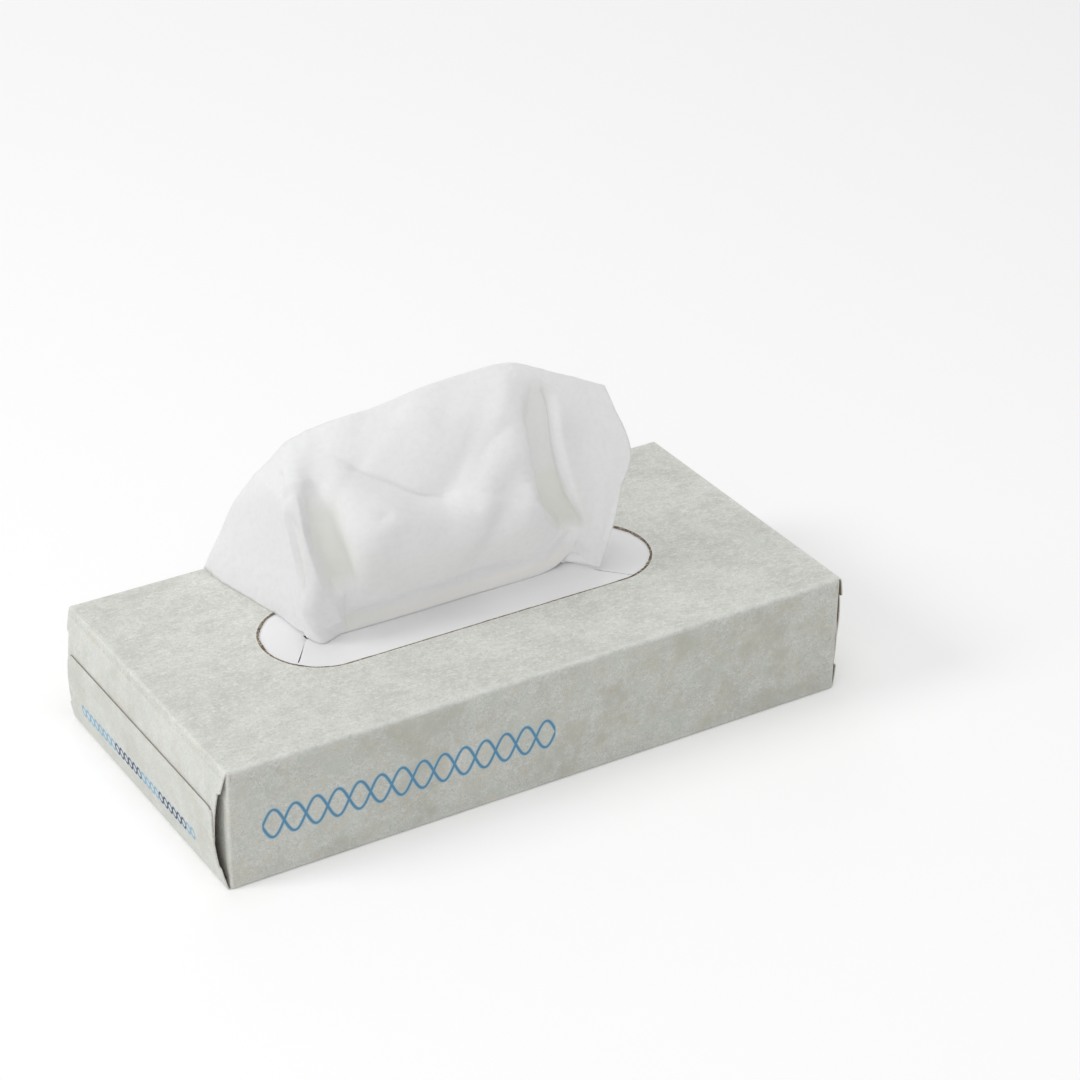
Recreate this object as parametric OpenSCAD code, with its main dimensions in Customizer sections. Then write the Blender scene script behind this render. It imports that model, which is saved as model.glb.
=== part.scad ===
// Box of facial tissues, opened, with the first sheet pulled up through its slit.
// Origin: middle of the bottom face. X runs along the box, Y from front to back, Z up.
// The printed face with the long side towards the viewer is the front, at minus Y.

/* [Carton] */
// Length of the box between its end folds
box_l = 230; // [215:1:260]
// Width of the box from front to back
box_w = 114; // [110:1:130]
// Height of the box
box_h = 43; // [30:1:80]
// Thickness of the board
board_t = 0.45; // [0.3:0.05:0.6]
// Outer radius of the board at a fold
fold_r = 1; // [0.7:0.1:1.5]
// Height of the strip that is glued up inside the back panel
seam_w = 14; // [8:1:20]

/* [Thumb holes in the bottom] */
// Length of a hole
hole_l = 18; // [12:1:24]
// Width of a hole
hole_w = 13; // [10:1:18]
// Middle of the holes from the right end fold
hole_in = 39; // [25:1:60]
// Distance between the middles of the two holes
hole_pitch = 59; // [40:1:70]

/* [End flaps] */
// Overlap of the two glued flaps on each end
flap_lap = 14; // [8:1:18]
// How far the glued flaps bow out of the end
end_bow = 3; // [1:0.5:5]
// Distance by which a glued flap is narrower than the box at its shoulder, each side
shoulder_in = 3; // [1:0.5:5]
// Distance from the fold to the shoulder step
shoulder_z = 8; // [5:0.5:10]
// Radius of a flap's free corners
flap_corner = 3; // [1:0.5:5]
// Length of the flaps folded in behind the glued ones
dust_l = 34; // [20:1:45]

/* [Opening and film] */
// Length of the opening torn out of the top
mouth_l = 144.5; // [136:0.5:160]
// Width of the opening
mouth_w = 41; // [36:0.5:56]
// Thickness of the film glued under the opening
film_t = 0.2; // [0.1:0.05:0.4]
// Width of the film's glued margin round the opening
film_margin = 11; // [6:1:14]
// Length of the slit in the film
slit_l = 97; // [80:1:100]
// Middle of the slit, to the right of the opening's middle
slit_x = -8.5; // [-9:0.5:-4]
// How far the slit stands open round the sheet
slit_gap = 4.4; // [4:0.2:6]
// Width of the diagonal cuts that run forward from the slit's ends
cut_w = 0.4; // [0.2:0.1:1]
// Height of the film flap above the top at the slit
front_lift = 0.8; // [0.2:0.2:1.4]

/* [Tissues] */
// Room between the pack and the end folds, each end
end_room = 15; // [8:1:22]
// Room between the pack and the front and back panels, each side
side_room = 4; // [2.5:0.5:8]
// Cut length of a tissue, across its fold
tissue_l = 210; // [190:1:230]
// Thickness of the pulled sheet, two plies with their crepe
sheet_t = 0.3; // [0.2:0.05:0.4]
// Height left between the stack and the film
head_room = 3; // [2.6:0.2:10]
// Number of folded bundles that show on the long sides of the stack
bundles = 12; // [6:1:20]

/* [Hidden] */
$fn = 96;

board_color = [0.79, 0.80, 0.77];
film_color = [0.93, 0.93, 0.95];
sheet_color = [0.96, 0.96, 0.95];

// Carton values
lap_gap = 0.1;                          // glue between two layers of board
panel_end = box_l / 2 - 2;              // where the flat panels stop and the end folds begin
flap_root = panel_end - 1;              // the flaps' outlines start inside the panels they join
raw_edge = 0.4;                         // lower edge of the back panel above the table
fold_steps = 6;
bow_steps = 14;
flap_len = (box_h + flap_lap) / 2;      // fold to free edge of a glued flap
flap_side = 0.6;                        // side clearance of a glued flap at its fold
flap_taper = 1.4;                       // further narrowing from the shoulder to the free edge
step_w = 1.5;                           // width of the step at the shoulder
step_r = 0.8;
dust_back = 0.7;                        // the inner flaps' face behind the box's end
dust_inset = 3;                         // inner flaps' edges below the top and above the bottom
dust_taper = 5;
bow_r = (box_h * box_h / 4 + end_bow * end_bow) / (2 * end_bow);
bow_x = box_l / 2 + end_bow - bow_r;    // centre of the bowed end

// Film values, heights from the top face
film_z = -board_t - film_t / 2;
hinge_y = 11.5;                         // where the film flap begins to rise, in front of the slit
cut_run = 0.8;                          // run of a diagonal cut to the side for each mm forward
corner_room = 5.5;                      // from the film flap's far corner to the mouth's round end
slit_half = min(slit_l / 2, mouth_l / 2 - abs(slit_x) - cut_run * hinge_y - corner_room);
cut_end = mouth_w / 2 - 1;              // how far forward the right cut runs
film_top = box_h - board_t;

// Stack and buried half of the pulled sheet
tissue_w = box_l - 2 * end_room;        // width of a tissue, along the box
leaf_d = box_w - 2 * (board_t + side_room);
stack_top = film_top - film_t - head_room;
stack_h = stack_top - board_t;
bundle_h = stack_h / bundles;
bundle_r = 0.6 * bundle_h;              // round folded edge of a bundle, pressed by its neighbours
rest_gap = 0.2;                         // the sheet lies this far above the stack
turn_r = 0.5;                           // radius of the sheet's own fold
low_z = stack_top + rest_gap + sheet_t / 2;
high_z = low_z + 2 * turn_r;
turn_y = leaf_d / 2 - 2;
neck_z = box_h + front_lift + 0.5;      // where the sheet leaves the slit
drop_r = neck_z - high_z;
fan_len = 60;                           // buried length over which the gathers open out
exposed_l = 88;                         // length pulled up above the slit, at the middle
buried_l = tissue_l - exposed_l;

// Shape of the pulled sheet above the slit. Each rail crosses the sheet from its left
// side edge to its right one, at the same thirteen stations, and is written in millimetres
// from the middle of the opening for the sheet width, slit length and slit place below.
rail_sheet_w = 200;
rail_slit_l = 97;
rail_slit_x = -8.5;
slit_scale = 2 * slit_half / rail_slit_l;
sheet_scale = tissue_w / rail_sheet_w;

neck_rail = [[-56.3, 0, 0], [-54.5, 0.5, 0], [-52.3, 0.4, 0], [-49.6, -0.5, 0], [-46, -0.5, 0],
             [-42, 0.3, 0], [-31, 0.4, 0], [-4, -0.3, 0], [26, -0.4, 0], [33, 0.3, 0],
             [35.3, 0.4, 0], [37.5, -0.2, 0], [39.5, 0, 0]];
crease_rail = [[-57, 4, 0.4], [-56.7, 2, 1.8], [-57.6, -1.5, 2.2], [-54.3, -7.2, 0.3],
               [-47, -5.3, 0.4], [-42.6, -5.4, 0.4], [-25.8, -5.6, 0.4], [0.2, -5.4, 0.4],
               [30.2, -5.1, 0.4], [41.6, -2.8, 3.4], [43.8, -5.6, 3], [46, -8.7, 1.4],
               [48.2, -10.8, 0]];
low_rail = [[-58.5, 16, 0.7], [-57.5, 10, 8.5], [-57.8, 1, 13], [-57, -8, 15],
            [-49.5, -7.5, 16], [-44.5, -6.5, 15], [-35, -9.5, 14], [-8, -10.5, 15],
            [21, -10.5, 15.5], [38.5, -3.5, 15.5], [44, -6.5, 16], [48.3, -9.5, 15.5],
            [52.5, -11, 15]];
mid_rail = [[-62, 31.5, 0.7], [-56.5, 24, 12], [-56, 8, 23], [-57.5, -1, 27.5],
            [-56.5, -6, 29.5], [-47.5, -5, 28.5], [-40, -11, 33], [-13, -13, 37],
            [17.5, -12, 35.5], [32.5, -3, 28], [37.5, -6, 31], [48.5, -7, 28.5],
            [58.5, -6.5, 26.5]];
upper_rail = [[-64.6, 44, 0.7], [-57, 37, 16], [-56.5, 24, 37], [-57, 12, 45], [-56, 4, 46],
              [-49.5, 4, 42.5], [-38.5, 3, 51], [-7, 0, 57], [19.5, -2, 59.5], [31, 2, 47.5],
              [35, -1, 51.5], [51, 0, 43], [66.5, 0, 36]];
hem_rail = [[-65.6, 56.5, 0.7], [-59, 50, 22], [-54, 43, 36.5], [-50, 39, 43.5],
            [-46, 33, 52.5], [-39, 28, 58.5], [-26.5, 21, 65], [-2.5, 14, 72], [20.5, 9, 75.5],
            [32.5, 6.5, 72], [39, 7, 68.5], [51, 8, 62.5], [61.5, 9, 57]];

// Main folds of the sheet: height towards the front, width to each side, and the fold's line
// as stations along the rails and rails up the sheet. They grow out of the base crease.
folds = [[2.4, 4, [[4.1, 4.2], [3.85, 3.4], [3.65, 2.4], [3.8, 1.5]]],
         [2.5, 5, [[2.4, 3.9], [3.75, 4.3], [5.4, 4.35]]],
         [-4.5, 6.5, [[4.6, 4.1], [4.8, 3.2], [5, 2]]],
         [-6, 11, [[4.9, 4.8], [6.2, 4], [7.2, 3.2]]],
         [3, 9, [[5.8, 3.9], [6.6, 3.2], [7.3, 2.6]]],
         [-5, 7, [[8.9, 3.8], [8.9, 3.1], [9.1, 2]]],
         [2.2, 4.5, [[10.2, 3.5], [10.2, 3], [10, 2]]]];
fold_from = 0.9;
fold_full = 1.7;
cols_per_span = 5;
rows_per_span = 5;
drop_rows = 4;
back_rows = 4;
turn_rows = 5;
ahead_rows = 3;
buried_rows = drop_rows + back_rows + turn_rows + ahead_rows;

// Points along an arc, from angle a0 to a1, in equal steps
function arc(c, r, a0, a1, steps) =
    [for (i = [0:steps]) let (a = a0 + (a1 - a0) * i / steps) [c.x + r * cos(a), c.y + r * sin(a)]];

function after_first(list) = [for (i = [1:len(list) - 1]) list[i]];

function unit(v) = v / norm(v);

// Closed outline of a board of thickness t whose middle line is the path
function board_outline(path, t) =
    let (n = len(path) - 1,
         side = [for (i = [0:n])
             let (d = unit(path[min(n, i + 1)] - path[max(0, i - 1)])) [-d.y, d.x] * t / 2])
    concat([for (i = [0:n]) path[i] + side[i]], [for (i = [n:-1:0]) path[i] - side[i]]);

// A YZ outline pushed along X, and an XZ outline pushed along Y
module along_x(x0, x1) translate([x0, 0, 0]) rotate([90, 0, 90]) linear_extrude(x1 - x0) children();
module along_y(y0, y1) translate([0, y1, 0]) rotate([90, 0, 0]) linear_extrude(y1 - y0) children();

// Round-ended slot, measured over its ends
module slot(l, w) {
    square([l - w, w], center = true);
    for (s = [-1, 1]) translate([s * (l - w) / 2, 0]) circle(d = w);
}

// Middle line of the four panels and the seam strip, seen from the end
function sleeve_path() =
    let (m = fold_r - board_t / 2,
         y = box_w / 2 - fold_r,
         seam_y = box_w / 2 - board_t - lap_gap - fold_r)
    concat([[seam_y + m, seam_w]],
           arc([seam_y, fold_r], m, 0, -90, fold_steps),
           arc([-y, fold_r], m, -90, -180, fold_steps),
           arc([-y, box_h - fold_r], m, 180, 90, fold_steps),
           arc([y, box_h - fold_r], m, 90, 0, fold_steps),
           [[y + m, raw_edge]]);

// Middle line of a glued end flap from the top panel's end, with its bow
function flap_path(bend_r) =
    let (m = fold_r - board_t / 2,
         rise = box_h / 2 - fold_r,
         fold_x = bow_x + sqrt(pow(bend_r - m, 2) - rise * rise),
         a_fold = asin(rise / (bend_r - m)),
         a_end = asin((box_h / 2 - flap_len) / bend_r))
    concat([[flap_root, box_h - board_t / 2]],
           arc([fold_x, box_h - fold_r], m, 90, a_fold, fold_steps),
           after_first(arc([bow_x, box_h / 2], bend_r, a_fold, a_end, bow_steps)));

// One half of a glued flap's outline: distance from the middle, height below the fold
function flap_half() =
    let (w0 = box_w / 2 - flap_side,
         w1 = box_w / 2 - shoulder_in,
         w2 = w1 - flap_taper)
    concat([[w0, -fold_r], [w0, fold_r]],
           arc([w1 + step_w - step_r, shoulder_z - step_r], step_r, 0, 90, fold_steps),
           [[w1, shoulder_z]],
           arc([w2 - flap_corner, flap_len - flap_corner], flap_corner, 0, 90, fold_steps),
           [[0, flap_len]]);

module flap_outline() {
    half = flap_half();
    n = len(half) - 1;
    polygon(concat([for (p = half) [p.x, box_h - p.y]],
                   [for (i = [n - 1:-1:0]) [-half[i].x, box_h - half[i].y]]));
}

// A glued flap hinged on the top fold at the plus X end
module glued_flap(bend_r) {
    intersection() {
        along_y(-box_w / 2, box_w / 2) polygon(board_outline(flap_path(bend_r), board_t));
        along_x(flap_root, box_l / 2 + end_bow + 1) flap_outline();
    }
}

// Inner flap at the plus X end, folded in from the front panel
module dust_flap() {
    m = fold_r - board_t / 2;
    fold_x = box_l / 2 - dust_back - fold_r;
    face_x = fold_x + m;
    y0 = -box_w / 2;
    path = concat([[flap_root, y0 + board_t / 2]],
                  arc([fold_x, y0 + fold_r], m, -90, 0, fold_steps),
                  [[face_x, y0 + dust_l]]);
    intersection() {
        linear_extrude(box_h) polygon(board_outline(path, board_t));
        along_x(flap_root, box_l / 2)
            polygon([[y0, dust_inset], [y0 + fold_r, dust_inset],
                     [y0 + dust_l, dust_inset + dust_taper],
                     [y0 + dust_l, box_h - dust_inset - dust_taper],
                     [y0 + fold_r, box_h - dust_inset], [y0, box_h - dust_inset]]);
    }
}

// The plus X end, closed with the flap from the top outside
module closed_end() {
    outer_r = bow_r - board_t / 2;
    inner_r = outer_r - board_t - lap_gap;
    glued_flap(outer_r);
    translate([0, 0, box_h]) mirror([0, 0, 1]) glued_flap(inner_r);
    dust_flap();
    mirror([0, 1, 0]) dust_flap();
}

// The whole box is one sheet of board, cut, folded and glued
module carton() {
    color(board_color) {
        difference() {
            along_x(-panel_end, panel_end) polygon(board_outline(sleeve_path(), board_t));
            translate([0, 0, box_h - 2 * fold_r]) linear_extrude(4 * fold_r) slot(mouth_l, mouth_w);
            for (s = [-1, 1])
                translate([box_l / 2 - hole_in, s * hole_pitch / 2, -fold_r])
                    linear_extrude(2 * fold_r) slot(hole_l, hole_w);
        }
        closed_end();
        // the other end has the flap from the bottom outside
        rotate([0, 180, 0]) translate([0, 0, -box_h]) closed_end();
    }
}

// Middle line of the film flap, seen from the end: flat under the board, then up to the slit
function film_path() =
    let (edge = slit_gap / 2, steps = 8)
    [for (i = [0:steps]) let (t = i / steps, s = t * t * (3 - 2 * t))
        [hinge_y + (edge - hinge_y) * t, box_h + film_z + (front_lift - film_z) * s]];

// Outline of the film flap, with its free edge pulled in at both ends
module flap_area(pull) {
    near = slit_half - pull;
    far = near + cut_run * hinge_y;
    translate([slit_x, 0]) polygon([[-far, -hinge_y], [far, -hinge_y], [near, 0], [-near, 0]]);
}

// What the flat film loses: the flap, the slit itself, and the right cut that runs on forward
module film_window() {
    cut_x = slit_x + slit_half + cut_run * hinge_y;
    on = cut_end - hinge_y;
    flap_area(0);
    translate([slit_x - slit_half, -slit_gap / 2]) square([2 * slit_half, slit_gap]);
    polygon([[cut_x - 2 * cut_w, cut_w - hinge_y], [cut_x - cut_w, cut_w - hinge_y],
             [cut_x + on, -cut_end], [cut_x + on - cut_w, -cut_end]]);
}

// Film glued under the opening, cut so that one long flap opens in front of the slit
module slit_film() {
    near_x = slit_half + cut_run * hinge_y;
    color(film_color) {
        translate([0, 0, film_top - film_t]) linear_extrude(film_t) difference() {
            square([mouth_l + 2 * film_margin, mouth_w + 2 * film_margin], center = true);
            film_window();
        }
        intersection() {
            mirror([0, 1, 0]) along_x(slit_x - near_x, slit_x + near_x)
                polygon(board_outline(film_path(), film_t));
            linear_extrude(2 * box_h) flap_area(cut_w * sqrt(2));
        }
    }
}

// Interfolded pack, with its folded bundles along both long sides
module tissue_stack() {
    edge_y = leaf_d / 2 - bundle_r;
    color(sheet_color) along_x(-tissue_w / 2, tissue_w / 2) {
        translate([-edge_y, board_t]) square([2 * edge_y, stack_h]);
        intersection() {
            translate([-leaf_d / 2, board_t]) square([leaf_d, stack_h]);
            for (i = [0:bundles - 1], s = [-1, 1])
                translate([s * edge_y, board_t + (i + 0.5) * bundle_h]) circle(r = bundle_r, $fn = 24);
        }
    }
}

// Catmull-Rom point between b and c
function blend(a, b, c, d, t) =
    b + 0.5 * t * (c - a + t * (2 * a - 5 * b + 4 * c - d + t * (3 * (b - c) + d - a)));

// Point at s spans along a row of points
function along(pts, s) =
    let (n = len(pts) - 1,
         k = min(n - 1, floor(s)),
         a = k > 0 ? pts[k - 1] : 2 * pts[0] - pts[1],
         d = k < n - 1 ? pts[k + 2] : 2 * pts[n] - pts[n - 1])
    blend(a, pts[k], pts[k + 1], d, s - k);

// A rail scaled about the middle of the slit
function scaled(rail, k, lift) =
    [for (p = rail) [(p.x - rail_slit_x) * k + slit_x, p.y * k, p.z * k + lift]];

rails = [scaled(neck_rail, slit_scale, neck_z - box_h),
         scaled(crease_rail, slit_scale, front_lift),
         scaled(low_rail, slit_scale, 0),
         scaled(mid_rail, sheet_scale, 0),
         scaled(upper_rail, sheet_scale, 0),
         scaled(hem_rail, sheet_scale, 0)];
col_count = (len(neck_rail) - 1) * cols_per_span;
row_count = (len(rails) - 1) * rows_per_span;

// Columns of the sheet are its width, from -1 at the left side edge to 1 at the right
function col_side(i) = 2 * i / col_count - 1;

// Stretches of the buried half: down from the slit, back over the stack, one turn, forward
drop_l = drop_r * PI / 2;
back_l = turn_y - drop_r;
turn_l = turn_r * PI;
ahead_l = buried_l - drop_l - back_l - turn_l;

// Profile of the buried half at length s from the slit
function buried_yz(s) =
    let (back = s - drop_l,
         ahead = back - back_l - turn_l,
         a_drop = 90 * s / drop_l,
         a_turn = 180 * (back - back_l) / turn_l)
    back < 0 ? [drop_r * (1 - cos(a_drop)), neck_z - drop_r * sin(a_drop)]
    : back < back_l ? [drop_r + back, high_z]
    : ahead < 0 ? [turn_y + turn_r * sin(a_turn), high_z - turn_r * (1 - cos(a_turn))]
    : [turn_y - ahead, low_z];

// Length from the slit at each buried row
buried_s = concat([for (j = [0:drop_rows - 1]) drop_l * j / drop_rows],
                  [for (j = [0:back_rows - 1]) drop_l + back_l * j / back_rows],
                  [for (j = [0:turn_rows - 1]) drop_l + back_l + turn_l * j / turn_rows],
                  [for (j = [0:ahead_rows]) buried_l - ahead_l * (1 - j / ahead_rows)]);

function buried_pt(i, j) =
    let (s = buried_s[j],
         yz = buried_yz(s),
         top = along(rails[0], i / cols_per_span),
         open = min(1, s / fan_len),
         f = open * open * (3 - 2 * open),
         shut = max(0, 1 - s / drop_r))
    [top.x * (1 - f) + col_side(i) * tissue_w / 2 * f, yz.x + top.y * shut, yz.y];

// Straight from the slit to the crease at the base, and smooth above it
function shown_pt(i, s) =
    let (up = [for (r = rails) along(r, i / cols_per_span)])
    s < 1 ? up[0] * (1 - s) + up[1] * s : along(after_first(up), s - 1);

function sheet_pt(i, j) =
    j < buried_rows ? buried_pt(i, buried_rows - j)
    : shown_pt(i, (j - buried_rows) / rows_per_span) + [0, 0, box_h];

// Lines of the folds on the unfolded shape
fold_lines = [for (f = folds) [for (p = f[2]) shown_pt(p[0] * cols_per_span, p[1]) + [0, 0, box_h]]];

// Distance from a point to a stretch of a line, and to the whole line
function stretch_far(p, a, b) =
    let (d = b - a, t = max(0, min(1, (p - a) * d / (d * d)))) norm(p - a - t * d);
function line_far(p, line) = min([for (k = [0:len(line) - 2]) stretch_far(p, line[k], line[k + 1])]);

// Height of the folds at a point on row j
function fold_lift(p, j) =
    let (s = (j - buried_rows) / rows_per_span,
         g = max(0, min(1, (s - fold_from) / (fold_full - fold_from))))
    g == 0 ? 0
    : g * g * (3 - 2 * g) * sheet_scale * [for (f = folds) 1]
      * [for (n = [0:len(folds) - 1])
          folds[n][0] * exp(-pow(line_far(p, fold_lines[n]) / (folds[n][1] * sheet_scale), 2))];

// Unit normals of a grid of points, towards the front
function grid_normals(grid) =
    let (rows = len(grid) - 1, cols = len(grid[0]) - 1)
    [for (j = [0:rows]) [for (i = [0:cols])
        unit(cross(grid[j][min(cols, i + 1)] - grid[j][max(0, i - 1)],
                   grid[min(rows, j + 1)][i] - grid[max(0, j - 1)][i]))]];

// The first sheet, fanned out above the slit, gathered in it, and lying folded below it
module pulled_tissue() {
    rows = buried_rows + row_count;
    plain = [for (j = [0:rows]) [for (i = [0:col_count]) sheet_pt(i, j)]];
    out = grid_normals(plain);
    grid = [for (j = [0:rows]) [for (i = [0:col_count])
        plain[j][i] + out[j][i] * fold_lift(plain[j][i], j)]];
    normal = grid_normals(grid);
    w = col_count + 1;
    half = w * (rows + 1);
    front = [for (j = [0:rows]) for (i = [0:col_count]) grid[j][i] + normal[j][i] * sheet_t / 2];
    back = [for (j = [0:rows]) for (i = [0:col_count]) grid[j][i] - normal[j][i] * sheet_t / 2];
    quads = concat(
        [for (j = [0:rows - 1]) for (i = [0:col_count - 1])
            [j * w + i, (j + 1) * w + i, (j + 1) * w + i + 1, j * w + i + 1]],
        [for (j = [0:rows - 1]) for (i = [0:col_count - 1])
            [half + j * w + i, half + j * w + i + 1, half + (j + 1) * w + i + 1, half + (j + 1) * w + i]],
        [for (j = [0:rows - 1]) [j * w, half + j * w, half + (j + 1) * w, (j + 1) * w]],
        [for (j = [0:rows - 1]) let (a = j * w + col_count, b = a + w) [a, b, half + b, half + a]],
        [for (i = [0:col_count - 1]) [i, i + 1, half + i + 1, half + i]],
        [for (i = [0:col_count - 1]) let (a = rows * w + i) [a, half + a, half + a + 1, a + 1]]);
    faces = [for (q = quads) for (t = [[q[0], q[1], q[2]], [q[0], q[2], q[3]]]) t];
    color(sheet_color) polyhedron(points = concat(front, back), faces = faces, convexity = 10);
}

carton();
slit_film();
tissue_stack();
pulled_tissue();
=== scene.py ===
import math

import bpy
import numpy as np
from mathutils import Matrix, Vector


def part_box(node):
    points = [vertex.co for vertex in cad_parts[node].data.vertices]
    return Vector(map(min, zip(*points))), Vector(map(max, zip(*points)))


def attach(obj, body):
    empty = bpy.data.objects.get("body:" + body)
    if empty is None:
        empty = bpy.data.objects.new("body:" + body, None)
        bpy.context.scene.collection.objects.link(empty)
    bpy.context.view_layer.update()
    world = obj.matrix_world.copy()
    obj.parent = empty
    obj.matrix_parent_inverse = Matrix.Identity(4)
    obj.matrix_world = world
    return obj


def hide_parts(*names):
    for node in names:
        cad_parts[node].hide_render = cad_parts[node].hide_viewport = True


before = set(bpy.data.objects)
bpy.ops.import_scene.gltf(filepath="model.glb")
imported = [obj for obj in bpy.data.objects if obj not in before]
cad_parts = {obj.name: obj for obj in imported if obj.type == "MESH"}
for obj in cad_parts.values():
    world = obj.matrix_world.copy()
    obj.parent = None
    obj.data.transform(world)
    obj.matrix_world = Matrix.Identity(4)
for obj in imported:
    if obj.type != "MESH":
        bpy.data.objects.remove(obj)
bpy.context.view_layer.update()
print("frame: CAD nodes are in")

mm = 0.001

# The carton's outer sizes, to a tenth of a millimetre
endBow = 3 * mm                                    # how far the end flaps bow out past their folds
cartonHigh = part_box("carton")[1]
halfLength = round(cartonHigh.x - endBow, 4)       # to the end folds
halfWidth = round(cartonHigh.y, 4)
boxTop = round(cartonHigh.z, 4)


# Camera

camera = {
    "lens": 103.33,
    "sensor": 36.0,
    "near": 0.05,
    "far": 50,
    "place": (-0.44678, -0.75930, 0.56571),
    "right": (0.85061, -0.52559, 0.01477),
    "up": (0.24957, 0.42831, 0.86849),
    "back": (-0.46279, -0.73506, 0.49549),
}


def makeCamera():
    data = bpy.data.cameras.new("camera")
    data.lens = camera["lens"]
    data.sensor_width = camera["sensor"]
    data.clip_start = camera["near"]
    data.clip_end = camera["far"]
    eye = bpy.data.objects.new("camera", data)
    turn = Matrix([camera["right"], camera["up"], camera["back"]]).transposed().to_4x4()
    eye.matrix_world = Matrix.Translation(camera["place"]) @ turn
    bpy.context.scene.collection.objects.link(eye)
    bpy.context.scene.camera = eye


makeCamera()
print("camera: placed")


# Node helpers

def feed(tree, socket, value):
    if isinstance(value, bpy.types.NodeSocket):
        tree.links.new(value, socket)
    else:
        socket.default_value = value


def put(tree, kind, inputs=None, **settings):
    node = tree.nodes.new(kind)
    for name, value in settings.items():
        setattr(node, name, value)
    for key, value in (inputs or {}).items():
        feed(tree, node.inputs[key], value)
    return node


def calc(tree, operation, *values, clamp=False):
    node = put(tree, "ShaderNodeMath", dict(enumerate(values)), operation=operation, use_clamp=clamp)
    return node.outputs[0]


def product(tree, first, *others):
    for value in others:
        first = calc(tree, "MULTIPLY", first, value)
    return first


def addUp(tree, first, *others, clamp=False):
    for value in others:
        first = calc(tree, "ADD", first, value, clamp=clamp)
    return first


def ramp(tree, value, low, high, toLow=0.0, toHigh=1.0):
    inputs = {"Value": value, "From Min": low, "From Max": high, "To Min": toLow, "To Max": toHigh}
    return put(tree, "ShaderNodeMapRange", inputs, interpolation_type="SMOOTHSTEP").outputs["Result"]


def mixColour(tree, amount, first, second):
    node = put(tree, "ShaderNodeMix", data_type="RGBA")
    feed(tree, node.inputs["Factor"], amount)
    for key, value in (("A", first), ("B", second)):
        feed(tree, node.inputs[key], value if isinstance(value, bpy.types.NodeSocket) else (*value, 1))
    return node.outputs["Result"]


def tinted(colour, share):
    return tuple(c * share for c in colour)


def noise(tree, place, scale, detail=3.0, rough=0.5, stretch=None):
    if stretch:
        place = put(tree, "ShaderNodeVectorMath", {0: place, 1: stretch}, operation="MULTIPLY").outputs[0]
    inputs = {"Vector": place, "Scale": scale, "Detail": detail, "Roughness": rough}
    return put(tree, "ShaderNodeTexNoise", inputs).outputs["Fac"]


def newGroup(name, inputs, outputs):
    group = bpy.data.node_groups.new(name, "ShaderNodeTree")
    for label, kind, value in inputs:
        socket = group.interface.new_socket(name=label, in_out="INPUT", socket_type=kind)
        if value is not None:
            socket.default_value = value
    for label, kind in outputs:
        group.interface.new_socket(name=label, in_out="OUTPUT", socket_type=kind)
    return group, group.nodes.new("NodeGroupInput").outputs, group.nodes.new("NodeGroupOutput").inputs


def useGroup(tree, group, inputs):
    return put(tree, "ShaderNodeGroup", inputs, node_tree=group).outputs


def objectPlace(tree):
    return put(tree, "ShaderNodeTexCoord").outputs["Object"]


def splitPlace(tree, place):
    return put(tree, "ShaderNodeSeparateXYZ", {0: place}).outputs[:]


def emptyTree(owner):
    owner.use_nodes = True
    owner.node_tree.nodes.clear()
    return owner.node_tree


def newMaterial(name):
    material = bpy.data.materials.new(name)
    tree = emptyTree(material)
    shader = put(tree, "ShaderNodeBsdfPrincipled")
    put(tree, "ShaderNodeOutputMaterial", {"Surface": shader.outputs[0]})
    return material, tree, shader


def paint(tree, shader, values):
    for key, value in values.items():
        feed(tree, shader.inputs[key], value)


def addBump(tree, shader, height, strength, distance):
    bump = put(tree, "ShaderNodeBump", {"Height": height, "Strength": strength, "Distance": distance})
    feed(tree, shader.inputs["Normal"], bump.outputs[0])


# Shared effects, as node groups

def makeMottle():
    group, given, out = newGroup(
        "mottledPaper",
        [("Place", "NodeSocketVector", None), ("Cloud Scale", "NodeSocketFloat", 45.0),
         ("Grain Scale", "NodeSocketFloat", 900.0)],
        [("Cloud", "NodeSocketFloat"), ("Grain", "NodeSocketFloat"), ("Fibre", "NodeSocketFloat")])
    place = given["Place"]
    big = noise(group, place, given["Cloud Scale"], 8.0, 0.68)
    small = noise(group, place, product(group, given["Cloud Scale"], 4.3), 6.0, 0.7, (0.6, 1.0, 1.0))
    fibre = noise(group, place, product(group, given["Grain Scale"], 0.60), 4.0, 0.8, (0.65, 1.0, 1.0))
    feed(group, out["Cloud"], addUp(group, product(group, big, 0.55), product(group, small, 0.45)))
    feed(group, out["Grain"], noise(group, place, given["Grain Scale"], 3.0, 0.75))
    feed(group, out["Fibre"], fibre)
    return group


def makeFoldWearAndHighlight():
    group, given, out = newGroup(
        "foldWearAndHighlight",
        [("Place", "NodeSocketVector", None), ("Half Length", "NodeSocketFloat", halfLength),
         ("Half Width", "NodeSocketFloat", halfWidth), ("Half Height", "NodeSocketFloat", boxTop / 2),
         ("Spread", "NodeSocketFloat", 0.0011)],
        [("WearAndHighlight", "NodeSocketFloat")])
    x, y, z = splitPlace(group, given["Place"])
    z = calc(group, "SUBTRACT", z, given["Half Height"])
    near = []
    for value, half in ((x, "Half Length"), (y, "Half Width"), (z, "Half Height")):
        off = calc(group, "ABSOLUTE", calc(group, "SUBTRACT", calc(group, "ABSOLUTE", value), given[half]))
        near.append(calc(group, "EXPONENT", product(group, calc(group, "DIVIDE", off, given["Spread"]), -1.0)))
    # Paler along the box's folds: rubbed whitening and a painted highlight
    edges = addUp(group, *[product(group, near[a], near[b]) for a, b in ((0, 1), (1, 2), (0, 2))], clamp=True)
    rubbed = ramp(group, noise(group, given["Place"], 260.0, 4.0, 0.65), 0.3, 0.62)
    feed(group, out["WearAndHighlight"], product(group, edges, rubbed))
    return group


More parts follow.
